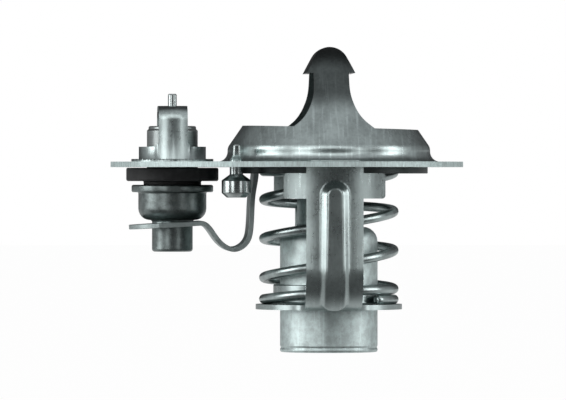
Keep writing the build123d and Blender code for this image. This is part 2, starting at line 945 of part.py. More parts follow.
# Vent pin: turned, with its upper end pinched flat so that it can't drop out
with BuildPart() as vent_pin:
    with BuildSketch(vent_section):
        with BuildLine():
            Polyline(
                (0, spade_top),
                (vent_shaft_r, spade_top),
                (vent_shaft_r, vent_neck_z),
                (vent_head_r, vent_cone_z),
                (vent_head_r, vent_head_z),
                (vent_tip_r, vent_tip_z),
                (0, vent_tip_z),
                close=True,
            )
        make_face()
    revolve(axis=vent_axis)
    with BuildSketch(Plane(origin=(vent_x, vent_y, sheet))):
        RectangleRounded(4 * vent_head_r, 4 * vent_head_r, sheet)
        RectangleRounded(spade_x, spade_y, spade_x / 4, mode=Mode.SUBTRACT)
    extrude(amount=spade_top, mode=Mode.SUBTRACT)
    with BuildSketch(Plane(origin=(vent_x, vent_y, sheet))):
        RectangleRounded(spade_x, spade_y, spade_x / 4)
    extrude(amount=spade_top - sheet)
    fillet(vent_pin.edges().group_by(Axis.Z)[-1], spade_x / 4)
vent_pin.part.label = "vent_pin"
export_step(vent_pin.part, "parts/vent_pin.step")
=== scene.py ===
# %% [markdown]
# An engine thermostat: a round steel flange with a domed port and a bridge over it, a coil
# spring in a ribbed frame below, and a small pilot valve on a leaf spring beside them.
# The measured solids come from the frame. This lesson gives them their looks: it works out
# finer surfaces for the turned pieces, the springs and the frame, sets the shading of the
# other pressings, and makes one finish for each kind of metal and rubber.

# %% Load the measured solids
import json
import math

import bmesh
import bpy
import numpy as np
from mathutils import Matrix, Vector

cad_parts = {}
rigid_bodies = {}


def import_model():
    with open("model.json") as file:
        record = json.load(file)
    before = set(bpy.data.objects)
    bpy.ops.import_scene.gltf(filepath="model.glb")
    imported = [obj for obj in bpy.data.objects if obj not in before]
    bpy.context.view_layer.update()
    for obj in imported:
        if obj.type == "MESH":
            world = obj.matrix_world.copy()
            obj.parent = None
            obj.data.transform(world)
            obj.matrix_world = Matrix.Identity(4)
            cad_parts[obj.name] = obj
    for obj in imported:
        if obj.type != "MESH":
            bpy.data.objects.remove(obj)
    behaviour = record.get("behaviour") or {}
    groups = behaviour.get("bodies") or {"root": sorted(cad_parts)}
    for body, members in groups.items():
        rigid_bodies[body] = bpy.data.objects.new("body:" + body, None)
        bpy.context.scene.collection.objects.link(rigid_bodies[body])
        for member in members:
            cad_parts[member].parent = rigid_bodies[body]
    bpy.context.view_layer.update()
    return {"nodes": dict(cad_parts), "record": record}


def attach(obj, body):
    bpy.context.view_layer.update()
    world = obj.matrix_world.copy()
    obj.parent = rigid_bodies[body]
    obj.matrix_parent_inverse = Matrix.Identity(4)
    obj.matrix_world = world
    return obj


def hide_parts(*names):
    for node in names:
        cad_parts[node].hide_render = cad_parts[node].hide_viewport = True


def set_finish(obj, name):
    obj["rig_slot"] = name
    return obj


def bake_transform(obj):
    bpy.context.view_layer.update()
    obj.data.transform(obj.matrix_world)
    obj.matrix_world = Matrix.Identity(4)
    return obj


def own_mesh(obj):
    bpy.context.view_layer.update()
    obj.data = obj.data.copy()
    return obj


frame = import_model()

MM = 0.001

# %% [markdown]
# Sizes shared by several pieces, in millimetres, as on the measured part. The origin is
# the flange's centre on its underside. The main valve and the pilot valve each have an
# upright axis of their own.

# %% Axes and shared sizes
main_axis = (6.2, 0.0)
pilot_axis = (-16.9, 0.0)
vent_axis = (-7.9, -10.8)
flange_r, sheet = 26.0, 0.8

# %% [markdown]
# A surface here is a grid of points: rows one way and columns the other. Neighbouring
# points make four-sided faces, and a grid that closes on itself wraps round. Points that
# fall together, as at a pole, are merged afterwards, and then the faces are turned to
# point outwards.

# %% From grids to a piece
def grid_faces(rows, columns, wrap_rows, wrap_columns, start):
    """Face (i, j) joins points (i, j), (i, j + 1), (i + 1, j + 1) and (i + 1, j)."""
    row = np.arange(rows if wrap_rows else rows - 1)
    column = np.arange(columns if wrap_columns else columns - 1)
    i, j = np.meshgrid(row, column, indexing="ij")
    i2, j2 = (i + 1) % rows, (j + 1) % columns
    corners = [i * columns + j, i * columns + j2, i2 * columns + j2, i2 * columns + j]
    return (np.stack(corners, axis=-1).reshape(-1, 4) + start).tolist()


def smooth(mesh, crease):
    """Merges points that coincide, and shades smooth except where faces meet sharply."""
    shape = bmesh.new()
    shape.from_mesh(mesh)
    bmesh.ops.remove_doubles(shape, verts=shape.verts, dist=2e-7)
    bmesh.ops.dissolve_degenerate(shape, edges=shape.edges, dist=1e-8)
    bmesh.ops.recalc_face_normals(shape, faces=shape.faces)
    shape.to_mesh(mesh)
    shape.free()
    mesh.shade_smooth()
    mesh.set_sharp_from_angle(angle=math.radians(crease))


def add_piece(name, mesh, slot, replaces, crease, body):
    smooth(mesh, crease)
    made = bpy.data.objects.new(name, mesh)
    bpy.context.scene.collection.objects.link(made)
    even = made.modifiers.new("even shading", "WEIGHTED_NORMAL")
    even.keep_sharp = True
    if body:
        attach(made, body)
    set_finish(made, slot)
    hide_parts(*replaces)
    print(f"{name}: {len(mesh.polygons)} faces")
    return made


def piece(name, patches, slot, replaces, crease=32, body=None):
    """Each patch is a grid of points in millimetres, and whether its rows and columns wrap."""
    points, faces, count = [], [], 0
    for grid, wrap_rows, wrap_columns in patches:
        rows, columns = grid.shape[:2]
        faces += grid_faces(rows, columns, wrap_rows, wrap_columns, count)
        points.append(grid.reshape(-1, 3) * MM)
        count += rows * columns
    mesh = bpy.data.meshes.new(name)
    mesh.from_pydata(np.concatenate(points).tolist(), [], faces)
    return add_piece(name, mesh, slot, replaces, crease, body)


# %% [markdown]
# Most of the small pieces are turned or drawn round an axis, so each is a profile of
# radius and height, carried once round. Real turned and drawn corners are never quite
# sharp, so the profile's corners are rounded by arcs first.

# %% Rounded profiles and turned surfaces
def rounded(corners, radii, steps=6):
    """A line through the corners, with an arc at each that touches both sides.

    Where the sides meet at twice the angle h, the arc begins radius / tan(h) from the
    corner, and its centre is radius / sin(h) away along the middle line. The ends of an
    open line have a radius of 0.
    """
    corners = np.asarray(corners, float)
    line = []
    for i, (here, radius) in enumerate(zip(corners, np.broadcast_to(radii, len(corners)))):
        if radius == 0:
            line.append(here[None])
            continue
        to_last = corners[i - 1] - here
        to_next = corners[(i + 1) % len(corners)] - here
        to_last /= np.linalg.norm(to_last)
        to_next /= np.linalg.norm(to_next)
        half = np.arccos(np.clip(to_last @ to_next, -1, 1)) / 2
        middle = (to_last + to_next) / np.linalg.norm(to_last + to_next)
        centre = here + middle * radius / np.sin(half)
        begin = here + to_last * radius / np.tan(half) - centre
        end = here + to_next * radius / np.tan(half) - centre
        span = np.pi - 2 * half
        share = np.linspace(0, 1, steps + 1)[:, None]
        arc = (np.sin((1 - share) * span) * begin + np.sin(share * span) * end) / np.sin(span)
        line.append(centre + arc)
    return np.concatenate(line)


def swept(axis, angle, radius, height):
    """The point at angle a, radius r and height z is (axis x + r cos a, axis y + r sin a, z)."""
    x = axis[0] + radius * np.cos(angle)[:, None]
    y = axis[1] + radius * np.sin(angle)[:, None]
    return np.stack([x, y, np.broadcast_to(height, x.shape)], axis=-1)


def turned(profile, axis, closed=True, count=144):
    angle = np.linspace(0, 2 * np.pi, count, endpoint=False)
    return swept(axis, angle, *profile.T), True, closed


def turned_piece(name, corners, radii, axis, slot, node, body, closed=True, count=144):
    """One turned surface, made from the corners of its profile and the radius at each."""
    skin = turned(rounded(corners, radii), axis, closed, count)
    return piece(name, [skin], slot, replaces=[node], body=body)


# %% [markdown]
# The coil spring is round wire on a helix. Its first turn lies flat on the ring plate, the
# open turns lean a little, and the last turn lies flat again under the leaf spring. The
# height of the wire's centre is one formula of the turn, and a soft maximum joins the flat
# turns to the open ones without a kink. The wire's ends are cut square, with a dulled edge.

# %% The coil spring
coil_r, wire_r = 9.6, 0.7
coil_low, coil_high = -19.5, -0.66
coil_first, coil_last = -0.128, 4.78
bed_from, bed_rise = 0.45, 1.5  # where the flat first turn starts to rise, and how far
open_from, coil_pitch, coil_lean = 0.833, 5.75, 0.58


def larger(a, b, soft=0.11):
    """Soft maximum: a + soft * log(1 + exp((b - a) / soft))."""
    return a + soft * np.log1p(np.exp((b - a) / soft))


def coil_point(turn):
    """Centre of the wire: round the axis at a constant radius, at the height of the turn."""
    angle = 2 * np.pi * turn
    share = np.clip((turn - bed_from) / (1 + coil_first - bed_from), 0, 1)
    bed = coil_low + bed_rise * share**2 * (3 - 2 * share)
    climb = coil_low + coil_pitch * (turn - open_from) + coil_lean * np.cos(angle)
    height = larger(bed, climb)
    height = np.where(turn > 2, coil_high - larger(0.0, coil_high - height), height)
    x = main_axis[0] + coil_r * np.cos(angle)
    return np.stack([x, coil_r * np.sin(angle), height], axis=-1)


def wire(line, turns, sizes, radius, around=20):
    """A circle carried along a line, across its direction, and scaled row by row."""
    centre = line(turns)
    along = line(turns + 1e-3) - line(turns - 1e-3)
    along /= np.linalg.norm(along, axis=-1, keepdims=True)
    side = centre * (1, 1, 0) - (*main_axis, 0)
    side -= along * np.sum(side * along, axis=-1, keepdims=True)
    side /= np.linalg.norm(side, axis=-1, keepdims=True)
    up = np.cross(along, side)
    angle = np.linspace(0, 2 * np.pi, around, endpoint=False)
    cosine, sine = np.cos(angle)[None, :, None], np.sin(angle)[None, :, None]
    ring = cosine * side[:, None] + sine * up[:, None]
    return centre[:, None] + radius * sizes[:, None, None] * ring, False, True


dull = 0.0015  # the length of the dulled edge, in turns
dulled = 0.86  # the wire's share of its full size there
coil_rows = 420
full_turns = np.linspace(coil_first + dull, coil_last - dull, coil_rows)
coil_turns = np.r_[coil_first, coil_first, full_turns, coil_last, coil_last]
coil_sizes = np.r_[0, dulled, np.ones(coil_rows), dulled, 0]
main_spring = piece(
    "coil_spring",
    [wire(coil_point, coil_turns, coil_sizes, wire_r)],
    "spring_wire",
    replaces=["main_spring"],
    crease=50,
    body="flange_assembly",
)
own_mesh(main_spring)

# %% [markdown]
# The leaf spring is one strip: a ring that the coil spring presses against the valve disc,
# an arm that drops and turns back up in a loop, and a second ring that carries the pilot
# cup. Its middle line is a smooth curve through a few measured points, and the strip is
# that line carried sideways. It is made as two pieces that meet at the bottom of the loop,
# because one half follows the main valve and the other the pilot valve.

# %% The leaf spring's middle line
def smooth_line(points, first, last, steps):
    """The cubic curve through the points with the least bend, and given end directions.

    Its slopes m solve m[i-1] / h[i-1] + 2 (1 / h[i-1] + 1 / h[i]) m[i] + m[i+1] / h[i] =
    3 (d[i-1] / h[i-1]**2 + d[i] / h[i]**2), where h are the chords and d the steps.
    """
    points = np.asarray(points, float)
    delta = np.diff(points, axis=0)
    chord = np.linalg.norm(delta, axis=1)
    count = len(points)
    matrix, right = np.eye(count), np.zeros_like(points)
    right[0], right[-1] = first, last
    for i in range(1, count - 1):
        low, high = chord[i - 1], chord[i]
        matrix[i, i - 1 : i + 2] = 1 / low, 2 / low + 2 / high, 1 / high
        right[i] = 3 * (delta[i - 1] / low**2 + delta[i] / high**2)
    slope = np.linalg.solve(matrix, right)
    share = np.linspace(0, 1, steps, endpoint=False)[:, None]
    line = []
    for i in range(count - 1):
        bend = chord[i] * ((1 - share) * slope[i] - share * slope[i + 1])
        bend = bend - (1 - 2 * share) * delta[i]
        line.append(points[i] + share * delta[i] + share * (1 - share) * bend)
    return np.concatenate(line + [points[-1:]])


leaf_t, leaf_half = 0.7, 6.0
loop_points = [
    (-12.8, -8.25), (-11.1, -9.7), (-9.8, -11.3), (-8.0, -12.1), (-6.05, -10.9),
    (-5.55, -9.1), (-5.4, -6.8), (-5.2, -3.9), (-4.75, -0.85),
]
steps = 8  # rows from one point to the next
loop = smooth_line(loop_points, (1, 0), (0.05, 1), steps)
lowest = 3 * steps  # the row of the loop's bottom
fold_middle, fold_r = (-3.5, -0.85), 1.25  # the bend from the arm into the main ring
fold_angle = np.linspace(np.pi, np.pi / 2, 9)[1:]
fold = fold_middle + fold_r * np.stack([np.cos(fold_angle), np.sin(fold_angle)], axis=-1)


def strip(line, across, ends):
    """Upper and lower face of a strip: the line moved half a thickness along its normal.

    The line lies in the XZ plane, and the columns are its points carried to each y. The
    strip's directions at its ends are given.
    """
    along = np.gradient(line, axis=0)
    along[0], along[-1] = ends
    along /= np.linalg.norm(along, axis=1, keepdims=True)
    normal = np.stack([-along[:, 1], along[:, 0]], axis=-1)
    faces = []
    for side in (leaf_t / 2, -leaf_t / 2):
        x, z = (line + side * normal).T
        columns = np.broadcast_arrays(x[:, None], across, z[:, None])
        faces.append(np.stack(columns, axis=-1))
    return faces


def both_faces(upper, lower, wrap=False):
    """The two faces of a sheet, as patches."""
    return [(upper, wrap, False), (lower, wrap, False)]


def edge(upper_line, lower_line, wrap=False):
    """The narrow wall between two lines of points."""
    return np.stack([upper_line, lower_line], axis=1), wrap, False


def leaf_piece(name, strip_faces, end, ring_faces, open_rows):
    """A strip and its ring. The end is the row at which the strip is cut, and the open
    rows are those of the ring that don't meet the strip.
    """
    patches = both_faces(*strip_faces)
    for line in (np.s_[:, 0], np.s_[:, -1], end):
        patches.append(edge(*(face[line] for face in strip_faces)))
    patches += both_faces(*ring_faces, wrap=True)
    patches.append(edge(*(face[:, 0] for face in ring_faces), wrap=True))
    patches.append(edge(*(face[open_rows, -1] for face in ring_faces)))
    return piece(name, patches, "spring_strip", replaces=["leaf_spring"])


# %% [markdown]
# The ring under the coil spring's top turn joins the arm without a seam: the arm's columns
# stand at the same distances from the middle as the ring's own points, so that the two
# grids share their points along the join.

# %% The leaf spring's half on the main valve
ring_in, ring_out, ring_low = 8.7, 10.45, 0.05
across = np.linspace(-leaf_half, leaf_half, 13)
arm = np.concatenate([loop[lowest:], fold])
arm_up, arm_down = strip(arm, across, ends=((1, 0), (1, 0)))
join_angle = np.pi - np.arcsin(across / ring_out)
open_angle = np.linspace(join_angle[-1], join_angle[0] - 2 * np.pi, 110)
ring_angle = np.r_[join_angle, open_angle[1:-1]]
ring_up, ring_down = (
    swept(main_axis, ring_angle, np.array([ring_in, ring_out]), height)
    for height in (ring_low + leaf_t, ring_low)
)
joined = len(across)
arm_up = np.concatenate([arm_up, ring_up[None, :joined, 1]])
arm_down = np.concatenate([arm_down, ring_down[None, :joined, 1]])
open_rows = np.r_[joined - 1 : len(ring_angle), 0]
leaf_main = leaf_piece(
    "leaf_spring_main_half", (arm_up, arm_down), 0, (ring_up, ring_down), open_rows
)

# %% The leaf spring's half on the pilot valve
cup_ring_r, cup_hole_r = 6.4, 3.15
cup_slope = (10.5, 0.6)  # the ring rises 0.6 in 10.5 towards the loop
join_x, join_z = 4.1, loop_points[0][1]  # the loop's start, from the pilot axis
join_angle = np.linspace(-1, 1, joined) * np.arctan(leaf_half / join_x)
cup_across = join_x * np.tan(join_angle)
tail_up, tail_down = strip(loop[: lowest + 1], cup_across, ends=(cup_slope, (1, 0)))
open_angle = np.linspace(join_angle[-1], 2 * np.pi + join_angle[0], 90)
cup_angle = np.r_[join_angle, open_angle[1:-1]]
with np.errstate(divide="ignore"):
    to_side = leaf_half / np.abs(np.sin(cup_angle))
    to_join = join_x / np.cos(cup_angle)
reach = np.minimum(to_side, np.where(np.cos(cup_angle) > 0, to_join, cup_ring_r))


def cup_ring(side):
    """Rows go round the pilot axis, and columns from the hole to the strip's outline."""
    radius = cup_hole_r + np.outer(reach - cup_hole_r, np.linspace(0, 1, 4))
    forward = radius * np.cos(cup_angle)[:, None] - join_x
    height = join_z + forward * cup_slope[1] / cup_slope[0]
    upwards = np.array([-cup_slope[1], 0, cup_slope[0]]) / np.hypot(*cup_slope)
    return swept(pilot_axis, cup_angle, radius, height) + side * upwards


cup_up, cup_down = cup_ring(leaf_t / 2), cup_ring(-leaf_t / 2)
open_rows = np.r_[joined - 1 : len(cup_angle), 0]
leaf_pilot = leaf_piece(
    "leaf_spring_pilot_half", (tail_up, tail_down), -1, (cup_up, cup_down), open_rows
)
for leaf in (leaf_main, leaf_pilot):
    soft_edge = leaf.modifiers.new("rolled edge", "BEVEL")
    soft_edge.width = 0.09 * MM
    soft_edge.segments = 2
    soft_edge.limit_method = "ANGLE"
    soft_edge.angle_limit = math.radians(50)
    leaf.modifiers.move(1, 0)
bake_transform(leaf_main)
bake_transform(leaf_pilot)

# %% [markdown]
# The main valve closes the dome from inside. Its disc is a pressed cap whose skirt reaches
# down to the flange's underside, with a rubber ring on top that seals against the dome, and
# a ring that holds the disc on the element's neck.

# %% The valve disc, its rubber ring and its clip
neck_r = 4.65
valve_low, valve_top = 0.75, 1.55
hole_r = neck_r + 0.05
skirt_r, skirt_in, skirt_low = 14.6, 13.8, -0.95
turned_piece(
    "main_valve_disc",
    [
        (hole_r, valve_top), (skirt_r, valve_top), (skirt_r, skirt_low),
        (skirt_in, skirt_low), (skirt_in, valve_low), (hole_r, valve_low),
    ],
    [0.1, 1.7, 0.1, 0.1, 0.9, 0.1],
    main_axis, "valve_steel", "valve_disc", "main_element",
)
turned_piece(
    "main_valve_rubber",
    [
        (11.6, valve_top), (12.9, valve_top), (13.85, valve_top + 0.5),
        (13.85, valve_top + 0.9), (13.2, valve_top + 1.05), (11.6, valve_top + 0.7),
    ],
    [0, 0.1, 0.1, 0.15, 0.3, 0.2],
    main_axis, "black_rubber", "valve_seal", "main_element",
)
turned_piece(
    "main_valve_clip",
    [(hole_r, valve_top), (6.4, valve_top), (6.4, valve_top + 0.7), (hole_r, valve_top + 0.7)],
    [0, 0, 0.25, 0.12],
    main_axis, "stamped_steel", "valve_clip", "main_element", count=96,
)

# %% [markdown]
# The main element is a drawn shell, wide at the bottom and narrow at the neck, with its
# lower lip rolled over an end cap. A shallow crimped groove runs round just above the lip.
# Its piston stands still: it reaches from inside the shell up to the bridge.

# %% The main element and its piston
element_r, element_low = 7.2, -27.26
neck_top, neck_in, shell_in = 2.6, 3.85, 6.4
turned_piece(
    "element_shell",
    [
        (neck_r, neck_top), (neck_r, -8.8), (element_r, -8.8), (element_r, -26.3),
        (element_r - 0.12, -26.6), (element_r, -26.84), (element_r, element_low),
        (5.6, element_low), (5.6, -26.7), (shell_in, -26.7), (shell_in, -9.6),
        (neck_in, -9.6), (neck_in, neck_top),
    ],
    [0.15, 0.5, 2.2, 0.12, 0.08, 0.1, 0.3, 0.2, 0.15, 0.1, 1.4, 0.3, 0.15],
    main_axis, "plated_shell", "element_body", "main_element",
)
turned_piece(
    "piston_pin",
    [(0, -20.6), (1.5, -20.6), (2.0, -20.1), (2.0, 14.5), (0.8, 16.7), (0, 16.7)],
    [0, 0.2, 0.3, 0.8, 0.3, 0],
    main_axis, "ground_steel", "main_piston", "flange_assembly", closed=False, count=72,
)
turned_piece(
    "wiper_ring",
    [(2.05, 2.05), (3.75, 2.05), (3.75, neck_top), (2.2, neck_top)],
    [0, 0, 0.1, 0.1],
    main_axis, "black_rubber", "guide_wiper", "main_element", count=72,
)

# %% [markdown]
# The pilot element hangs under the flange on the leaf spring's ring. From the top it is a
# turned guide, a black rubber disc that shuts the hole in the flange, a crimped rim and a
# dark drawn cup with a stem. Its own thin pin is held by the strap above.

# %% The pilot element and its pin
turned_piece(
    "pilot_turned_guide",
    [
        (5.41, -2.9), (3.75, -2.9), (3.75, 5.35), (3.5, 5.62), (3.5, 6.05), (0.7, 6.05),
        (0.7, -1.4), (1.6, -1.4), (1.6, -3.18), (5.41, -3.18),
    ],
    [0, 0.1, 0.12, 0.1, 0.25, 0.12, 0, 0, 0, 0],
    pilot_axis, "plated_guide", "pilot_guide", "pilot_element", count=120,
)
rim_in, rim_top = 3.8, -2.6  # the crimped rim of the cup, on which the rubber disc stands
turned_piece(
    "pilot_rubber_disc",
    [
        (rim_in, -0.1), (6.8, -0.1), (6.8, -2.07), (4.25, -2.07), (4.25, rim_top),
        (rim_in, rim_top),
    ],
    [0, 0.25, 0.3, 0.15, 0.05, 0],
    pilot_axis, "black_rubber", "pilot_valve", "pilot_element", count=120,
)
cup_outside = rounded(
    [
        (rim_in, rim_top), (6.02, rim_top), (6.02, -3.7), (5.02, -3.7), (5.02, -7.8),
        (3.0, -7.8), (3.0, -12.46), (0, -12.46),
    ],
    [0, 0.3, 0.25, 0.2, 1.7, 0.3, 0.4, 0],
)
cup_inside = rounded(
    [
        (rim_in, rim_top), (rim_in, -2.88), (5.46, -2.88), (5.46, -3.42), (4.42, -3.42),
        (4.42, -7.2), (2.4, -7.2), (2.4, -11.86), (0, -11.86),
    ],
    [0, 0, 0.05, 0.05, 0.1, 1.1, 0.3, 0.25, 0],
)
piece(
    "pilot_drawn_cup",
    [turned(line, pilot_axis, closed=False, count=120) for line in (cup_outside, cup_inside)],
    "dark_plated_cup",
    replaces=["pilot_cup"],
    body="pilot_element",
)
turned_piece(
    "pilot_pin",
    [(0, -1.3), (0.65, -1.3), (0.65, 10.65), (0.5, 10.8), (0, 10.8)],
    [0, 0.1, 0.1, 0.1, 0],
    pilot_axis, "ground_steel", "pilot_piston", "flange_assembly", closed=False, count=48,
)

# %% [markdown]
# The vent pin is loose in its hole, so that air can pass. Below the flange it has a turned
# head, and above it the shaft is pinched flat, wider than the hole. Going up, its section
# changes from a circle to a flat rounded bar, so a superellipse is used: the same formula
# gives both, as its two radii and its power change with the height.

# %% The vent pin
def superellipse(a, b, power, height, axis, count=64):
    """x = a sgn(cos) |cos| ** (2 / power), y = b sgn(sin) |sin| ** (2 / power), row by row."""
    angle = np.linspace(0, 2 * np.pi, count, endpoint=False)
    c, s = np.cos(angle), np.sin(angle)
    share = (2 / power)[:, None]
    x = axis[0] + a[:, None] * np.sign(c) * np.abs(c) ** share
    y = axis[1] + b[:, None] * np.sign(s) * np.abs(s) ** share
    return np.stack([x, y, np.broadcast_to(height[:, None], x.shape)], axis=-1), False, True


shaft_r = 0.97
flat_a, flat_b, flat_power = 0.6, 1.35, 4.6
pinch_low, pinch_rise, pin_top = 0.92, 0.85, 3.23
head = rounded(
    [(0, -4.47), (1.4, -4.47), (2.15, -3.8), (2.15, -1.95), (shaft_r, -1.08), (shaft_r, 0.9)],
    [0, 0.25, 0.2, 0.25, 0.1, 0],
)
rise = np.array([0.0, 0.06, 0.18, 0.35, 0.6, 0.85, 1.0])
ease = rise**2 * (3 - 2 * rise)
inwards = 0.14 * np.array([0.5, 0.85, 1.0])  # the rounding of the flat end's edge
pin_a, pin_b = (
    np.r_[head[:, 0], shaft_r + (flat - shaft_r) * ease, flat - inwards, 0]
    for flat in (flat_a, flat_b)
)
pin_power = np.r_[np.full(len(head), 2.0), 2 + (flat_power - 2) * ease, np.full(4, flat_power)]
pin_z = np.r_[head[:, 1], pinch_low + pinch_rise * rise, 3.12, 3.18, pin_top, pin_top]
piece(
    "vent_pin_turned",
    [superellipse(pin_a, pin_b, pin_power, pin_z, vent_axis)],
    "turned_pin",
    replaces=["vent_pin"],
    body="vent_pin",
)

# %% [markdown]
# The lower frame is one pressing: two legs that hang from the flange, each with a T head
# and a pressed rib, bend inwards to a ring plate with a collar drawn up round the element.
# A leg is a grid: rows run down it and round the bend, and columns across it. Each point
# has a depth below the drawn cup's outer face, and the rib is a smooth hill that lessens
# that depth, with the shape of a long capsule that is round at both ends. The hill's flat
# top widens a little towards the foot, and is slightly crowned.

# %% The lower frame's leg
leg_r, leg_half, leg_t = 17.2, 4.15, 0.75
bend_z, bend_r, bend_from = -14.6, 6.35, 10.85
ear_half, ear_top, ear_low = 7.4, -0.9, -4.6
web_r, plate_r, plate_top = 2.5, 10.8, -20.2
rib_first, rib_last = 4.15, -bend_z + bend_r * math.radians(52)
rib_half, rib_high, rib_crown = 2.08, 0.74, 0.06
rib_top, rib_widen = 1.1, 0.35
straight = np.r_[
    np.linspace(0, -ear_top, 5)[:-1],
    -ear_top + (ear_top - ear_low) * (1 - np.cos(np.linspace(0, np.pi, 34))) / 2,
    np.linspace(-ear_low, -bend_z, 64)[1:],
]
down = np.r_[straight, -bend_z + bend_r * np.linspace(0, np.pi / 2, 61)[1:]]
ear_rows = np.flatnonzero((down > -ear_top - 1e-9) & (down < -ear_low + 1e-9))


def rib_rise(u, s):
    """Full height near the capsule's middle line, then an even slope down to 0."""
    beyond = np.maximum(0, np.maximum(rib_first - s, s - rib_last))
    away = np.hypot(u, beyond)
    share = np.clip((s - rib_first) / (rib_last - rib_first), 0, 1)
    flat = rib_top + rib_widen * share
    fall = (away - flat) / (rib_half - flat)
    fall = larger(0, fall, soft=0.07) - larger(0, fall - 1, soft=0.07)
    crown = rib_high + rib_crown * (1 - np.clip(away / (rib_half + 0.02), 0, 1) ** 2)
    return crown * np.clip(1 - fall, 0, 1)


def leg_point(u, s, depth):
    """Above the bend, on the circle of radius leg_r - depth at height -s. On the bend, at
    an angle a of (s - straight length) / bend_r round the bend's centre. y = sqrt(d^2 - u^2).
    """
    depth = depth - rib_rise(u, s)
    a = np.maximum(0, s + bend_z) / bend_r
    reach = np.where(a > 0, bend_from + (bend_r - depth) * np.cos(a), leg_r - depth)
    height = np.where(a > 0, bend_z - (bend_r - depth) * np.sin(a), -s)
    return np.stack([u + main_axis[0], np.sqrt(reach**2 - u**2), height], axis=-1)


def foot_half(s):
    """Half the leg's width: its foot widens by a hollow corner of radius web_r.

    The width and the place where it is measured depend on each other, so the answer is
    found in small steps.
    """
    a = np.maximum(0, s + bend_z) / bend_r
    reach = bend_from + bend_r * np.cos(a)
    corner_u = leg_half + web_r
    corner_y = np.sqrt((plate_r + web_r) ** 2 - corner_u**2)
    half = np.full_like(s, leg_half)
    for _ in range(30):
        y = np.sqrt(reach**2 - half**2)
        inside = np.clip(web_r**2 - (corner_y - y) ** 2, 0, None)
        wide = corner_u - np.sqrt(inside)
        half = np.where((s > -bend_z) & (y < corner_y), 0.5 * (half + wide), leg_half)
    return half


crowd = 1.2  # draws the columns together towards the leg's sides
share_across = np.sin(np.linspace(-1, 1, 65) * crowd) / np.sin(crowd)
leg_u = foot_half(down)[:, None] * share_across
leg_s = np.broadcast_to(down[:, None], leg_u.shape)
leg_face, leg_back = leg_point(leg_u, leg_s, 0.0), leg_point(leg_u, leg_s, leg_t)

# %% The T head's ears
ear_s = down[ear_rows]
ear_round = 0.5
to_end = np.minimum(ear_s + ear_top, -ear_low - ear_s)
rounding = ear_round - np.sqrt(ear_round**2 - np.clip(ear_round - to_end, 0, None) ** 2)
ear_out = ear_half - rounding
ear_share = np.linspace(0, 1, 9)
ear_u = leg_half + (ear_out[:, None] - leg_half) * ear_share
ear_s = np.broadcast_to(ear_s[:, None], ear_u.shape)


def leg_patches():
    """The +Y leg with its two ears. A wall joins front and back along each free edge."""
    patches = both_faces(leg_face, leg_back)
    patches.append(edge(leg_face[0], leg_back[0]))
    above, beneath = np.s_[: ear_rows[0] + 1], np.s_[ear_rows[-1] :]
    for column in (0, -1):
        for rows in (above, beneath):
            patches.append(edge(leg_face[rows, column], leg_back[rows, column]))
    for side in (-1, 1):
        face, back = leg_point(side * ear_u, ear_s, 0.0), leg_point(side * ear_u, ear_s, leg_t)
        patches += both_faces(face, back)
        for line in (np.s_[0, :], np.s_[-1, :], np.s_[:, -1]):
            patches.append(edge(face[line], back[line]))
    return patches


# %% The ring plate, its collar and the tabs in the flange's slots
foot_angle = np.arctan2(leg_face[-1, :, 1], leg_face[-1, :, 0] - main_axis[0])[::-1]
between = np.linspace(foot_angle[-1], np.pi + foot_angle[0], 70)[1:-1]
half_turn = np.r_[foot_angle, between]
plate_angle = np.r_[half_turn, half_turn + np.pi]
outer = np.tile(np.repeat([bend_from, plate_r], [len(foot_angle), len(between)]), 2)
collar_line = rounded(
    [(9.6, plate_top), (8.2, plate_top), (8.2, -17.3), (7.3, -17.3), (7.3, -20.95), (9.6, -20.95)],
    [0, 0.45, 0.2, 0.12, 0.5, 0],
)
collar_r = np.broadcast_to(collar_line[:, 0], (len(outer), len(collar_line)))
plate_height = np.r_[plate_top, collar_line[:, 1], plate_top - leg_t]
plate = swept(main_axis, plate_angle, np.c_[outer, collar_r, outer], plate_height)
free = len(foot_angle)
rim_rows = [np.r_[free - 1 : free + len(between) + 1]]
rim_rows.append(np.r_[rim_rows[0][:-1] + len(half_turn), 0])


def block(r0, r1, half_width, z0, z1, soft):
    """A bar that follows a circle: its rounded section of radius and height, at each u.

    The sections at both ends are shrunk to a point, which closes the bar.
    """
    section = rounded([(r0, z0), (r1, z0), (r1, z1), (r0, z1)], soft, steps=3)
    u = np.linspace(-half_width, half_width, 15)
    middle = section.mean(axis=0)
    closed = np.broadcast_to(middle, section.shape)
    d, z = np.moveaxis(np.stack([closed] + [section] * len(u) + [closed]), -1, 0)
    u = np.r_[u[0], u, u[-1]][:, None]
    return np.stack([u + main_axis[0] + 0 * d, np.sqrt(d**2 - u**2), z], axis=-1), False, True


one_leg = leg_patches() + [
    block(leg_r - leg_t, leg_r, 3.2, -0.12, 0.86, 0.04),
    block(leg_r - leg_t + 0.05, leg_r + 0.3, 3.5, 0.8, 1.02, 0.09),
]
turned_round = [
    (2 * np.array([main_axis[0], 0, 0]) + grid * (-1, -1, 1), wrap_r, wrap_c)
    for grid, wrap_r, wrap_c in one_leg
]
piece(
    "lower_frame_pressing",
    one_leg
    + turned_round
    + [(plate, True, False)]
    + [edge(plate[rows, 0], plate[rows, -1]) for rows in rim_rows],
    "stamped_steel",
    replaces=["lower_frame"],
    crease=38,
    body="flange_assembly",
)

# %% [markdown]
# The flange with its bridge and the pilot's bracket are pressings whose form comes from
# the solids as it is. A copy of each is merged into one skin, and only its shading is
# worked on: smooth along the drawn curves, and sharp at the sheared edges.

# %% The pressings
def pressing(node, name):
    mesh = frame["nodes"][node].data.copy()
    mesh.name = name
    return add_piece(name, mesh, "stamped_steel", [node], 28, "flange_assembly")


flange = pressing("flange_bridge", "flange_and_bridge")
pressing("pilot_bridge", "pilot_bracket")

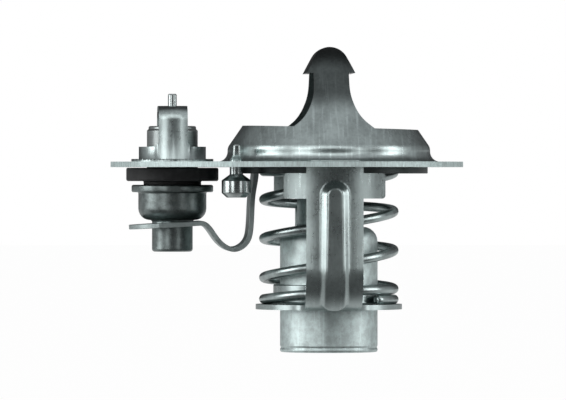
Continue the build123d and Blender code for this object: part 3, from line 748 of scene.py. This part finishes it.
# %% [markdown]
# Long thin triangles shade in streaks, because each corner's direction is an average of
# the flat faces round it. The flange's surfaces are known: planes, cylinders, a cone, a
# sphere and rounded bends, so each corner can take the direction of the true surface that
# its face lies on. A face lies on a surface when its three corners do, to a few microns.

# %% The flange's true directions
dome_r, dome_bend = 14.95, 1.5  # the dome's upright wall, and the bends above and below it
cone = math.radians(55.5)
cone_sin, cone_cos = math.sin(cone), math.cos(cone)
cone_r, cone_z = 12.95, 5.8  # one point of the cone
bell_top, bell_sheet = 18.0, 0.85
hood_r, hood_z = 2.6, 15.1
cone_line = cone_sin * cone_r + cone_cos * cone_z
bell_z = (bell_top - cone_line) / (1 - cone_cos)
knee_r = dome_r - dome_bend
knee_z = (cone_line - dome_bend - cone_sin * knee_r) / cone_cos
root_r, root_z = dome_r + dome_bend, sheet + dome_bend


def bend_surface(ring_r, ring_z, radius):
    """Distance to a bend: hypot(r - ring_r, z - ring_z) - radius, in the plane of the axis."""

    def surface(r, z):
        away = np.hypot(r - ring_r, z - ring_z)
        return away - radius, (r - ring_r) / away, (z - ring_z) / away

    return surface


def straight_surface(angle, offset):
    """Distance to a plane, cone or upright wall: sin(angle) r + cos(angle) z - offset."""
    n_r, n_z = math.sin(angle), math.cos(angle)

    def surface(r, z):
        return n_r * r + n_z * z - offset, np.full_like(r, n_r), np.full_like(r, n_z)

    return surface


upright = math.pi / 2
straights = [
    (0.0, 0.0), (0.0, sheet), (upright, dome_r), (upright, dome_r - sheet),
    (cone, cone_line), (cone, cone_line - sheet), (cone, cone_line - bell_sheet),
]
bends = [
    (0.0, bell_z, bell_top - bell_z), (0.0, bell_z, bell_top - bell_z - bell_sheet),
    (knee_r, knee_z, dome_bend), (knee_r, knee_z, dome_bend - sheet),
    (root_r, root_z, dome_bend), (root_r, root_z, dome_bend + sheet),
]
round_surfaces = [straight_surface(*sizes) for sizes in straights]
round_surfaces += [bend_surface(*sizes) for sizes in bends]
hood_surfaces = [bend_surface(0.0, hood_z, radius) for radius in (hood_r, hood_r - bell_sheet)]
same_place = 0.006  # how near a corner has to be, in millimetres
same_way = 0.93  # how near a face has to be to the surface's direction, as a cosine
turned_away = 0.3  # below this cosine a corner's own direction is not trusted


def read(items, key, width=1, kind=float):
    """One property of all the items: a row of width numbers for each."""
    values = np.empty(len(items) * width, kind)
    items.foreach_get(key, values)
    return values.reshape(-1, width) if width > 1 else values


def set_true_directions(made):
    """Gives each corner the direction of the surface that its face lies on.

    The hood is a bend round a line along Y, so its surfaces take x in the place of r.
    """
    mesh = made.data
    start = read(mesh.polygons, "loop_start", kind=np.int32)
    total = read(mesh.polygons, "loop_total", kind=np.int32)
    flat = np.repeat(read(mesh.polygons, "normal", 3), total, axis=0)
    corner = read(mesh.corner_normals, "vector", 3)
    trusted = np.sum(corner * flat, axis=1) > turned_away
    corner = np.where(trusted[:, None], corner, flat)
    point = read(mesh.vertices, "co", 3)[read(mesh.loops, "vertex_index", kind=np.int32)]
    x, y, z = (point / MM - (*main_axis, 0)).T
    r = np.hypot(x, y)
    out_x, out_y = np.stack([x, y]) / np.maximum(r, 1e-6)
    surfaces = [(surface, r, out_x, out_y) for surface in round_surfaces]
    surfaces += [(surface, x, 1.0, 0.0) for surface in hood_surfaces]
    found = np.zeros(len(corner), bool)
    for surface, across, to_x, to_y in surfaces:
        gap, n_across, n_z = surface(across, z)
        true = np.stack([n_across * to_x, n_across * to_y, n_z], axis=1)
        facing = np.sum(true * flat, axis=1)
        agrees = (np.abs(gap) < same_place) & (np.abs(facing) > same_way)
        on = np.repeat(np.logical_and.reduceat(agrees, start), total) & ~found
        corner[on] = true[on] * np.sign(facing)[on, None]
        found |= on
    mesh.normals_split_custom_set(corner.tolist())
    print(f"{made.name}: true directions at {found.mean():.0%} of the corners")


flange.modifiers.clear()
set_true_directions(flange)

# %% [markdown]
# Finishes are node trees. Two small helpers keep them readable. A Value stands for the
# output of a node and can be used in sums, so that a formula such as 1 - mask is written as
# it is read. A Finish is one material: its make method adds any other node, with the
# values or links of its sockets first and then its settings.

# %% Helpers for finishes
class Value:
    def __init__(self, finish, socket):
        self.finish, self.socket = finish, socket

    def combine(self, operation, first, second):
        return self.finish.make("ShaderNodeMath", {0: first, 1: second}, {"operation": operation})

    def __add__(self, other):
        return self.combine("ADD", self, other)

    def __sub__(self, other):
        return self.combine("SUBTRACT", self, other)

    def __rsub__(self, other):
        return self.combine("SUBTRACT", other, self)

    def __mul__(self, other):
        return self.combine("MULTIPLY", self, other)

    def __pow__(self, other):
        return self.combine("POWER", self, other)

    __radd__, __rmul__ = __add__, __mul__


class Finish:
    """A material, with its patterns laid out in the object's own coordinates in metres."""

    def __init__(self, name, tree=None):
        if tree is None:
            self.material = bpy.data.materials.new(name)
            self.material.use_nodes = True
            tree = self.material.node_tree
        self.tree = tree
        self.tree.nodes.clear()

    def make(self, kind, inputs=(), settings=(), output=0):
        node = self.tree.nodes.new(kind)
        for key, value in dict(settings).items():
            setattr(node, key, value)
        for key, value in dict(inputs).items():
            if isinstance(value, Value):
                self.tree.links.new(value.socket, node.inputs[key])
            else:
                node.inputs[key].default_value = value
        return Value(self, node.outputs[output]) if len(node.outputs) else None

    def place(self, stretch=(1, 1, 1), centre=(0, 0, 0)):
        """Object coordinates, measured from a centre in millimetres, and scaled along each axis."""
        where = self.make("ShaderNodeTexCoord", output="Object")
        moved = [-c * s * MM for c, s in zip(centre, stretch)]
        inputs = {"Vector": where, "Location": moved, "Scale": stretch}
        return self.make("ShaderNodeMapping", inputs)

    def noise(self, size, detail=3.0, roughness=0.55, stretch=(1, 1, 1)):
        """Cloudy values from 0 to 1, with patches of about this size in millimetres."""
        inputs = {"Vector": self.place(stretch), "Scale": 1 / (size * MM), "Detail": detail}
        inputs["Roughness"] = roughness
        return self.make("ShaderNodeTexNoise", inputs)

    def clamp(self, value, low, high, to_low=0.0, to_high=1.0):
        """Rises smoothly from to_low to to_high, as the value goes from low to high."""
        inputs = {"Value": value, "From Min": low, "From Max": high}
        inputs |= {"To Min": to_low, "To Max": to_high}
        settings = {"clamp": True, "interpolation_type": "SMOOTHSTEP"}
        return self.make("ShaderNodeMapRange", inputs, settings)

    def blend(self, share, first, second):
        """Colour from first, at a share of 0, to second, at 1."""
        return self.make("ShaderNodeMix", {0: share, 6: first, 7: second}, {"data_type": "RGBA"}, 2)

    def split(self, vector):
        node = self.tree.nodes.new("ShaderNodeSeparateXYZ")
        self.tree.links.new(vector.socket, node.inputs[0])
        return [Value(self, out) for out in node.outputs]

    def bump(self, height, depth, under=None):
        """The surface's direction, as if it stood up by height times a depth in millimetres."""
        inputs = {"Height": height, "Distance": depth * MM}
        if under is not None:
            inputs["Normal"] = under
        return self.make("ShaderNodeBump", inputs)

    def surface(self, **inputs):
        """The principled shader with these sockets, and the material's output."""
        sockets = {key.replace("_", " ").title(): value for key, value in inputs.items()}
        shader = self.make("ShaderNodeBsdfPrincipled", sockets)
        self.make("ShaderNodeOutputMaterial", {"Surface": shader})
        return self.material


def grey(level, tint=(0.86, 1.0, 0.99)):
    """A metal's grey with the cool cast of steel."""
    return (level * tint[0], level * tint[1], level * tint[2], 1.0)


# %% [markdown]
# Pressed steel is rolled sheet: fairly dull, with a fine grain, faint cloudy patches from
# the bath it was cleaned in, and bright marks along the grain. The grain and the marks are
# noise made long in depth and in height, so they run upright wherever the sheet stands.
# High on the bridge the colour is painted darker, as painted shade for the dark
# surroundings that the bridge mirrors there.

# %% Pressed steel
# The bridge's painted shade rises between these heights.
bridge_low, bridge_high = 7.2, 11.2  # the heights between which the bridge darkens


def pressed_steel(name, light, dark, roughness, marks=1.0, stain_and_painted_shade=0.0):
    steel = Finish(name)
    cloud = steel.noise(3.5, 4)
    speck = steel.noise(0.45, 3)
    drawn = steel.noise(0.28, 3, stretch=(1, 0.05, 0.05))
    streak = steel.clamp(steel.noise(0.5, 2, stretch=(1, 0.08, 0.08)), 0.50, 0.72)
    tone = steel.clamp(cloud * 0.7 + speck * 0.3, 0.32, 0.68)
    colour = steel.blend(tone, grey(dark), grey(light))
    colour = steel.blend(streak * (0.38 * marks), colour, grey(light * 1.35))
    # Painted shade: high on the bridge the colour is blended towards near black, for the dark
    # surroundings that the bridge mirrors there.
    if stain_and_painted_shade:
        height = steel.split(steel.place())[2]
        painted_shade_share = steel.clamp(height, bridge_low * MM, bridge_high * MM)
        colour = steel.blend(painted_shade_share * stain_and_painted_shade, colour, grey(0.02))
    rough = roughness + 0.10 * (cloud - 0.5) + 0.12 * (speck - 0.5) - 0.03 * streak
    normal = steel.bump(drawn, 0.008 * marks, under=steel.bump(speck, 0.0016))
    return steel.surface(base_color=colour, metallic=1.0, roughness=rough, normal=normal)


pressed = pressed_steel("pressed steel", 0.55, 0.40, 0.30, marks=0.6)
pressed_flange = pressed_steel("pressed flange steel", 0.60, 0.38, 0.31, marks=1.3, stain_and_painted_shade=0.78)
# The valve disc is coloured near black: painted shade for the dark band under the flange's
# overhang.
valve_steel_in_painted_shade = pressed_steel("valve steel in painted shade", 0.09, 0.05, 0.42, marks=0.5)
strip_steel = pressed_steel("spring strip steel", 0.60, 0.44, 0.44, marks=0.4)

# %% [markdown]
# The flange's rim is sheared, not rolled: a torn, matte edge with fine upright lines, which
# scatters light and so looks pale from every side.

# %% Sheared edge
shear = Finish("sheared edge")
tear = shear.noise(0.22, 3, stretch=(1, 1, 0.2))
worn_patch = shear.noise(2.5, 3)
sheared = shear.surface(
    base_color=shear.blend(
        shear.clamp(tear * 0.6 + worn_patch * 0.4, 0.35, 0.65), grey(0.62), grey(0.84)
    ),
    metallic=1.0,
    roughness=0.62 + 0.15 * (tear - 0.5),
    normal=shear.bump(tear, 0.02),
)

# %% [markdown]
# Spring wire is drawn and then coiled and heated, so it is smooth, a little darker, and has
# faint stains of heat. Ground pins are brighter, with fine rings round them.

# %% Spring wire and ground pins
def drawn_wire(name, light, dark):
    steel = Finish(name)
    stain_and_painted_shade = steel.noise(2.2, 3)
    speck = steel.noise(0.25, 3)
    colour = steel.blend(steel.clamp(stain_and_painted_shade, 0.35, 0.7), grey(dark), grey(light))
    rough = 0.30 + 0.14 * (speck - 0.5) + 0.1 * (stain_and_painted_shade - 0.5)
    return steel.surface(
        base_color=colour, metallic=1.0, roughness=rough, normal=steel.bump(speck, 0.004)
    )


def turned_metal(name, light, dark, roughness, ring, axis, tint=(0.90, 1.0, 0.99)):
    """Turned metal has fine rings: noise that changes only with height and radius."""
    metal = Finish(name)
    x, y, z = metal.split(metal.place(centre=(*axis, 0)))
    radius = (x * x + y * y) ** 0.5
    rings = metal.make(
        "ShaderNodeTexNoise",
        {"W": z + radius * 0.9, "Scale": 1 / (ring * MM), "Detail": 2.0},
        {"noise_dimensions": "1D"},
    )
    cloud = metal.noise(1.6, 3)
    tone = metal.clamp(rings * 0.55 + cloud * 0.45, 0.3, 0.7)
    colour = metal.blend(tone, grey(dark, tint), grey(light, tint))
    rough = roughness + 0.16 * (rings - 0.5) + 0.08 * (cloud - 0.5)
    return metal.surface(
        base_color=colour, metallic=1.0, roughness=rough, normal=metal.bump(rings, 0.004)
    )


spring_wire = drawn_wire("spring wire", 0.58, 0.40)
ground = turned_metal("ground steel", 0.70, 0.58, 0.24, 0.10, main_axis)
pilot_ground = turned_metal("ground pilot pin", 0.62, 0.50, 0.28, 0.10, pilot_axis)
guide_metal = turned_metal("turned guide", 0.36, 0.26, 0.34, 0.16, pilot_axis)
vent_metal = turned_metal("bright vent pin", 0.60, 0.46, 0.20, 0.14, vent_axis)
brass = turned_metal("turned brass", 0.62, 0.50, 0.30, 0.14, main_axis, tint=(1.08, 0.84, 0.46))

# %% [markdown]
# The element's shell is drawn brass with a dull plating, paler and more mottled than the
# steel: blotches of about a millimetre, fine pores, and a few upright scuffs from fitting.
# The pilot's cup has a dark plating, a little worn to bare metal in fine specks.

# %% Plated shells
def plated(name, light, dark, roughness, worn=0.0, scuff=1.0):
    shell = Finish(name)
    blotch = shell.noise(1.1, 4, roughness=0.6)
    pores = shell.noise(0.16, 2)
    scuffs = shell.clamp(shell.noise(0.4, 2, stretch=(1, 1, 0.05)), 0.6, 0.72)
    tone = shell.clamp(blotch * 0.75 + pores * 0.25, 0.34, 0.66)
    colour = shell.blend(tone, grey(dark), grey(light))
    colour = shell.blend(scuffs * (0.4 * scuff), colour, grey(light * 1.2))
    if worn:
        specks = shell.clamp(shell.noise(0.3, 3), 0.62, 0.7)
        colour = shell.blend(specks * worn, colour, grey(0.5))
    rough = roughness + 0.14 * (blotch - 0.5) + 0.1 * (pores - 0.5)
    normal = shell.bump(blotch, 0.012, under=shell.bump(pores, 0.006))
    return shell.surface(base_color=colour, metallic=1.0, roughness=rough, normal=normal)


element_plating = plated("dull plated shell", 0.84, 0.60, 0.48)
cup_plating = plated("dark plated cup", 0.30, 0.17, 0.36, worn=0.25, scuff=0.3)

# %% [markdown]
# Moulded rubber is nearly black and matte, with a dusty bloom in fine patches. The wax is
# hidden in its shell, and pale brown with bright grains of metal powder that carry heat.

# %% Rubber and wax
rubber = Finish("moulded rubber")
bloom = rubber.noise(0.9, 4)
grit = rubber.noise(0.12, 2)
black_rubber = rubber.surface(
    base_color=rubber.blend(
        rubber.clamp(bloom, 0.4, 0.75), (0.009, 0.010, 0.011, 1), (0.024, 0.026, 0.027, 1)
    ),
    roughness=0.58 + 0.2 * (bloom - 0.5),
    normal=rubber.bump(grit, 0.008),
)
wax = Finish("wax with metal powder")
powder = wax.clamp(wax.noise(0.15, 2), 0.6, 0.68)
soft = wax.noise(1.5, 3)
filled_wax = wax.surface(
    base_color=wax.blend(
        powder, wax.blend(soft, (0.62, 0.5, 0.3, 1), (0.8, 0.7, 0.48, 1)), (0.75, 0.45, 0.25, 1)
    ),
    metallic=powder * 0.8,
    roughness=0.5 - 0.15 * powder,
    normal=wax.bump(soft, 0.02),
)

# %% [markdown]
# Each visible piece and each hidden solid now gets its finish. A solid that stays hidden
# inside is dressed as well, because the model may be opened later.

# %% Give every piece its finish
finish_of_slot = {
    "stamped_steel": pressed,
    "spring_strip": strip_steel,
    "spring_wire": spring_wire,
    "ground_steel": ground,
    "valve_steel": valve_steel_in_painted_shade,
    "plated_shell": element_plating,
    "dark_plated_cup": cup_plating,
    "plated_guide": guide_metal,
    "bush_brass": brass,
    "turned_pin": vent_metal,
    "black_rubber": black_rubber,
    "wax": filled_wax,
}
slot_of_node = {part["node"]: part["material_slot"] for part in frame["record"]["subparts"]}


def dress(made, material):
    made.data.materials.clear()
    made.data.materials.append(material)


for name, node in frame["nodes"].items():
    dress(node, finish_of_slot[slot_of_node[name]])
for made in bpy.data.objects:
    if made.type == "MESH" and "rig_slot" in made:
        dress(made, finish_of_slot[made["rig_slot"]])
dress(bpy.data.objects["pilot_pin"], pilot_ground)
dress(flange, pressed_flange)
flange.data.materials.append(sheared)
centre = read(flange.data.polygons, "center", 3) / MM
on_rim = np.hypot(centre[:, 0], centre[:, 1]) > flange_r - 0.05
flange.data.polygons.foreach_set("material_index", on_rim.astype(np.int32))
print("sheared rim:", int(on_rim.sum()), "faces")

# %% [markdown]
# The floor is a plain pale sheet below the part, which hangs above it as it would in its
# housing. The camera sees the floor and the sky as nearly white, while lamps and shadows
# still work on the floor as on any surface.

# %% The floor and the surroundings
floor_z, floor_half = -0.042, 3.0
floor_mesh = bpy.data.meshes.new("floor")
floor_mesh.from_pydata(
    [(x * floor_half, y * floor_half, floor_z) for x, y in ((-1, -1), (1, -1), (1, 1), (-1, 1))],
    [],
    [(0, 1, 2, 3)],
)
floor = bpy.data.objects.new("floor", floor_mesh)
bpy.context.scene.collection.objects.link(floor)
paper = Finish("pale floor")
fibre = paper.noise(6.0, 4)
fibre_shade = paper.blend(fibre, (0.80, 0.80, 0.80, 1), (0.84, 0.84, 0.84, 1))
matte = paper.make("ShaderNodeBsdfDiffuse", {"Color": fibre_shade})
white = paper.make("ShaderNodeEmission", {"Color": (1, 1, 1, 1)})
camera_ray = paper.make("ShaderNodeLightPath", output="Is Camera Ray")
glossy_ray = paper.make("ShaderNodeLightPath", output="Is Glossy Ray")
floor_y = paper.split(paper.make("ShaderNodeTexCoord", output="Object"))[1]
behind = paper.clamp(floor_y, -0.024, 0.006, 0.05, 0.65)
mirrored = paper.make("ShaderNodeEmission", {"Color": (1, 1, 1, 1), "Strength": behind})
lit = paper.make("ShaderNodeMixShader", {0: glossy_ray * 0.85, 1: matte, 2: mirrored})
shown = paper.make("ShaderNodeMixShader", {0: camera_ray * 0.98, 1: lit, 2: white})
paper.make("ShaderNodeOutputMaterial", {"Surface": shown})
dress(floor, paper.material)

world = bpy.data.worlds.new("studio")
bpy.context.scene.world = world
world.use_nodes = True
sky = Finish("studio", world.node_tree)
side, depth, upward = sky.split(sky.make("ShaderNodeTexCoord", output="Generated"))
overhead = sky.clamp(upward, 0.1, 0.85, 0.0, 0.50) * sky.clamp(depth * -1.0, -0.35, 0.35)
left = sky.clamp(side * -1.0, 0.35, 0.9, 0.0, 0.30)
right = sky.clamp(side, 0.3, 0.9, 0.0, 0.25)
below = sky.clamp(upward * -1.0, 0.2, 0.9, 0.0, 0.2)
level = 0.05 + overhead + left + right + below
sky_colour = sky.make("ShaderNodeCombineColor", {0: level, 1: level, 2: level * 1.02})
around = sky.make("ShaderNodeBackground", {"Color": sky_colour})
backdrop = sky.make("ShaderNodeBackground", {"Color": (1, 1, 1, 1)})
seen = sky.make("ShaderNodeLightPath", output="Is Camera Ray")
sky_shown = sky.make("ShaderNodeMixShader", {0: seen, 1: around, 2: backdrop})
sky.make("ShaderNodeOutputWorld", {"Surface": sky_shown})

# %% [markdown]
# The lamps are soft boxes: the strongest on the left, a weaker one on the right, a weak
# one to each side of the camera, and a wide one high in front. Between them it stays
# darker, and that dark band, mirrored in the middle of each rounded piece, is what makes
# metal look like metal.

# %% Soft boxes
def soft_box(name, where, size, power):
    lamp = bpy.data.lights.new(name, "AREA")
    lamp.shape = "RECTANGLE"
    lamp.size, lamp.size_y = size
    lamp.energy = power
    made = bpy.data.objects.new(name, lamp)
    made.location = where
    towards = Vector((0, 0, -0.005)) - Vector(where)
    made.rotation_euler = towards.to_track_quat("-Z", "Y").to_euler()
    bpy.context.scene.collection.objects.link(made)


soft_box("left box", (-0.60, -0.12, 0.10), (0.32, 0.6), 1.9)
soft_box("left front box", (-0.32, -0.52, 0.06), (0.20, 0.5), 0.75)
soft_box("right front box", (0.33, -0.52, 0.10), (0.14, 0.4), 0.30)
soft_box("right box", (0.58, -0.16, 0.06), (0.25, 0.6), 1.3)
soft_box("high front box", (-0.08, -0.50, 0.36), (0.75, 0.30), 0.8)

# %% [markdown]
# The photograph is taken from far away, level with the part and a little round to one side,
# so a long lens is used: its width at the part's distance is 83.5 mm.

# %% The camera
camera_data = bpy.data.cameras.new("camera")
camera_data.sensor_width = 36.0
camera_data.lens = 431.1
camera_data.clip_start, camera_data.clip_end = 0.05, 20.0
camera = bpy.data.objects.new("camera", camera_data)
turn, lift, far = math.radians(-2.75), math.radians(0.2), 1.0
aim = Vector((-0.000568, 0, -0.004853))
look = Vector((-math.sin(turn) * math.cos(lift), math.cos(turn) * math.cos(lift), -math.sin(lift)))
camera.location = aim - far * look
camera.rotation_euler = look.to_track_quat("-Z", "Y").to_euler()
bpy.context.scene.collection.objects.link(camera)
bpy.context.scene.camera = camera
bpy.context.scene.view_settings.view_transform = "Standard"
